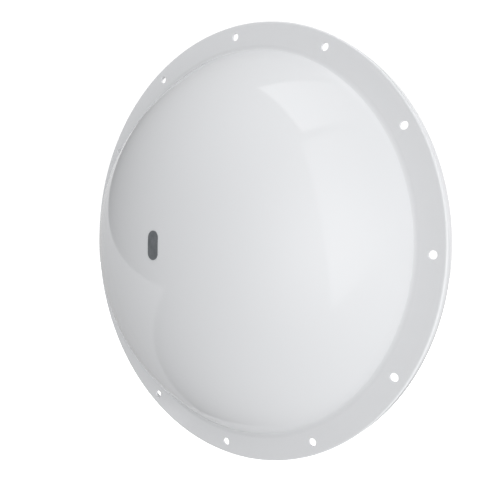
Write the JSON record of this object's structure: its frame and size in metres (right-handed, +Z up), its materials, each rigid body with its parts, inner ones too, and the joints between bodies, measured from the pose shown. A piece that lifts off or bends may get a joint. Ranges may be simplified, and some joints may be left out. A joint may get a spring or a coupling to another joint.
{
  "type": "dish antenna with radome",
  "caption": "Mast-mounted microwave dish antenna closed by a shallow white domed radome with a flat drilled rim flange and a turned-back skirt; clamps, pans, tilts.",
  "frame": {"origin": "centre of the mast clamp, on the mast axis", "axes": "+Z up along the mast, the dish looks along -Y, +X to the right of someone facing the radome"},
  "size_m": [0.6499, 0.5933, 0.65],
  "materials": {
    "radome_white": "gloss",
    "badge_grey": "satin",
    "painted_casting": "grey powder coat",
    "plated_steel": "zinc plated",
    "nylon": "matte",
    "dish_aluminium": "spun, satin",
    "seal_rubber": "matte",
    "feed_metal": "machined",
    "connector_brass": "nickel tint",
    "cap_plastic": "matte",
    "feed_plastic": "satin"
  },
  "bodies": {
    "mast_mount": {"mast_bracket": "painted_casting", "kingpin_lug_upper": "painted_casting", "kingpin_lug_lower": "painted_casting", "clamp_bolts": "plated_steel", "kingpin_bolt": "plated_steel", "kingpin_washers": "plated_steel", "kingpin_nut": "plated_steel"},
    "clamp_jaws": {"clamp_jaw_upper": "painted_casting", "clamp_jaw_lower": "painted_casting", "clamp_washers": "plated_steel", "clamp_nuts": "plated_steel"},
    "azimuth_yoke": {"azimuth_yoke": "painted_casting", "thrust_washers": "nylon", "pivot_bolts": "plated_steel", "pivot_nuts": "plated_steel", "tilt_washers": "nylon", "lock_bolts": "plated_steel", "lock_washers": "plated_steel", "lock_nuts": "plated_steel", "adjuster_rod": "plated_steel", "rod_lock_nut": "plated_steel"},
    "adjuster_nuts": {"adjuster_nuts": "plated_steel", "adjuster_washers": "plated_steel"},
    "adjuster_trunnion": {"trunnion_stubs": "plated_steel", "trunnion_bridges": "plated_steel", "trunnion_clips": "plated_steel"},
    "tilt_head": {"rear_hub": "painted_casting", "reflector": "dish_aluminium", "rim_seal": "seal_rubber", "hub_clamp_ring": "dish_aluminium", "hub_bolts": "plated_steel", "hub_washers": "plated_steel", "hub_nuts": "plated_steel", "polarity_dogs": "plated_steel", "dog_screws": "plated_steel", "earth_stud": "plated_steel", "earth_nut": "plated_steel"},
    "feed": {"feed_tube": "feed_metal", "feed_flange": "feed_metal", "transition_block": "feed_metal", "rf_connectors": "connector_brass", "connector_caps": "cap_plastic", "feed_cone": "feed_plastic", "splash_plate": "feed_metal"},
    "radome": {"radome_shell": "radome_white", "boresight_badge": "badge_grey"}
  },
  "joints": [
    {"name": "azimuth_swivel", "type": "hinge", "parent": "mast_mount", "child": "azimuth_yoke", "pos_m": [0, -0.09, 0], "axis": [0, 0, 1], "range_deg": [-15, 15]},
    {"name": "elevation_tilt", "type": "hinge", "parent": "azimuth_yoke", "child": "tilt_head", "pos_m": [0, -0.175, 0], "axis": [-1, 0, 0], "range_deg": [-15, 15]},
    {"name": "feed_polarity", "type": "hinge", "parent": "tilt_head", "child": "feed", "pos_m": [0, -0.25, 0], "axis": [0, -1, 0], "range_deg": [0, 90]},
    {"name": "radome_lift_off", "type": "slide", "parent": "tilt_head", "child": "radome", "axis": [0, -1, 0], "range_m": [0, 0.35]},
    {"name": "clamp_jaw_slide", "type": "slide", "parent": "mast_mount", "child": "clamp_jaws", "axis": [0, 1, 0], "range_m": [0, 0.02]},
    {"name": "trunnion_turn", "type": "hinge", "parent": "tilt_head", "child": "adjuster_trunnion", "pos_m": [0, -0.175, -0.075], "axis": [-1, 0, 0], "range_deg": [-15, 15]},
    {"name": "adjuster_travel", "type": "slide", "parent": "azimuth_yoke", "child": "adjuster_nuts", "axis": [0, -1, 0], "range_m": [-0.0198, 0.0198]}
  ],
  "couplings": [
    {"joint": "trunnion_turn", "follows": "elevation_tilt", "ratio": -1},
    {"joint": "adjuster_travel", "follows": "elevation_tilt", "m_per_rad": 0.075}
  ]
}
